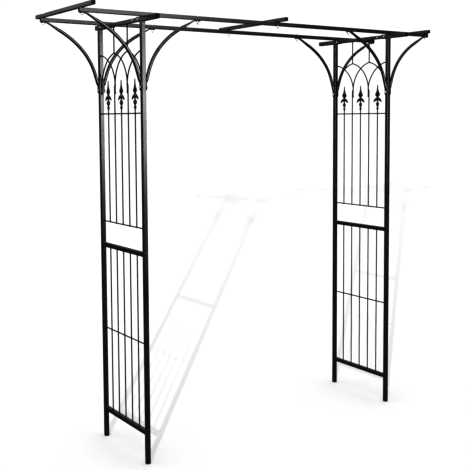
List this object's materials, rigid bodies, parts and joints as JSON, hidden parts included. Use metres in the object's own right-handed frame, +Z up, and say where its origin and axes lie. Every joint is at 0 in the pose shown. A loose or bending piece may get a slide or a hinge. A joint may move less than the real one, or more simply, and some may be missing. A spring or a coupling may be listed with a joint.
{
  "type": "garden trellis arch",
  "caption": "Free-standing metal garden arch: two trellis side panels with spear finials and interlaced arches, joined by an open flat roof on curved braces.",
  "frame": {"origin": "on the ground, in the middle of the footprint between the four feet", "axes": "+X along the roof beams, from the left panel to the right one; -Y towards the front; +Z up"},
  "size_m": [2.1, 0.7, 2.0666],
  "materials": {
    "black_powder_coat": "satin black powder coat",
    "zinc_bolts": "bright zinc plate",
    "tube_caps": "matte black push-in caps"
  },
  "bodies": {
    "root": {"beam_bolt_left_back": "zinc_bolts", "beam_bolt_left_front": "zinc_bolts", "beam_bolt_right_back": "zinc_bolts", "beam_bolt_right_front": "zinc_bolts", "bottom_rail_left": "black_powder_coat", "bottom_rail_right": "black_powder_coat", "brace_inner_left_back": "black_powder_coat", "brace_inner_left_front": "black_powder_coat", "brace_inner_right_back": "black_powder_coat", "brace_inner_right_front": "black_powder_coat", "brace_outer_left_back": "black_powder_coat", "brace_outer_left_front": "black_powder_coat", "brace_outer_right_back": "black_powder_coat", "brace_outer_right_front": "black_powder_coat", "centre_bolt_back": "zinc_bolts", "centre_bolt_front": "zinc_bolts", "end_bolt_left_back": "zinc_bolts", "end_bolt_left_front": "zinc_bolts", "end_bolt_right_back": "zinc_bolts", "end_bolt_right_front": "zinc_bolts", "finial_left_back": "black_powder_coat", "finial_left_front": "black_powder_coat", "finial_left_middle": "black_powder_coat", "finial_right_back": "black_powder_coat", "finial_right_front": "black_powder_coat", "finial_right_middle": "black_powder_coat", "head_tube_left_back": "black_powder_coat", "head_tube_left_front": "black_powder_coat", "head_tube_right_back": "black_powder_coat", "head_tube_right_front": "black_powder_coat", "junction_rail_left": "black_powder_coat", "junction_rail_right": "black_powder_coat", "lower_grille_left": "black_powder_coat", "lower_grille_right": "black_powder_coat", "lower_post_left_back": "black_powder_coat", "lower_post_left_front": "black_powder_coat", "lower_post_right_back": "black_powder_coat", "lower_post_right_front": "black_powder_coat", "post_bolt_left_back": "zinc_bolts", "post_bolt_left_front": "zinc_bolts", "post_bolt_right_back": "zinc_bolts", "post_bolt_right_front": "zinc_bolts", "roof_beam_back_left": "black_powder_coat", "roof_beam_back_right": "black_powder_coat", "roof_beam_front_left": "black_powder_coat", "roof_beam_front_right": "black_powder_coat", "roof_crossbar_left": "black_powder_coat", "roof_crossbar_middle": "black_powder_coat", "roof_crossbar_right": "black_powder_coat", "top_rail_left": "black_powder_coat", "top_rail_right": "black_powder_coat", "tracery_left": "black_powder_coat", "tracery_right": "black_powder_coat", "upper_grille_left": "black_powder_coat", "upper_grille_right": "black_powder_coat", "upper_post_left_back": "black_powder_coat", "upper_post_left_front": "black_powder_coat", "upper_post_right_back": "black_powder_coat", "upper_post_right_front": "black_powder_coat"}
  },
  "joints": []
}
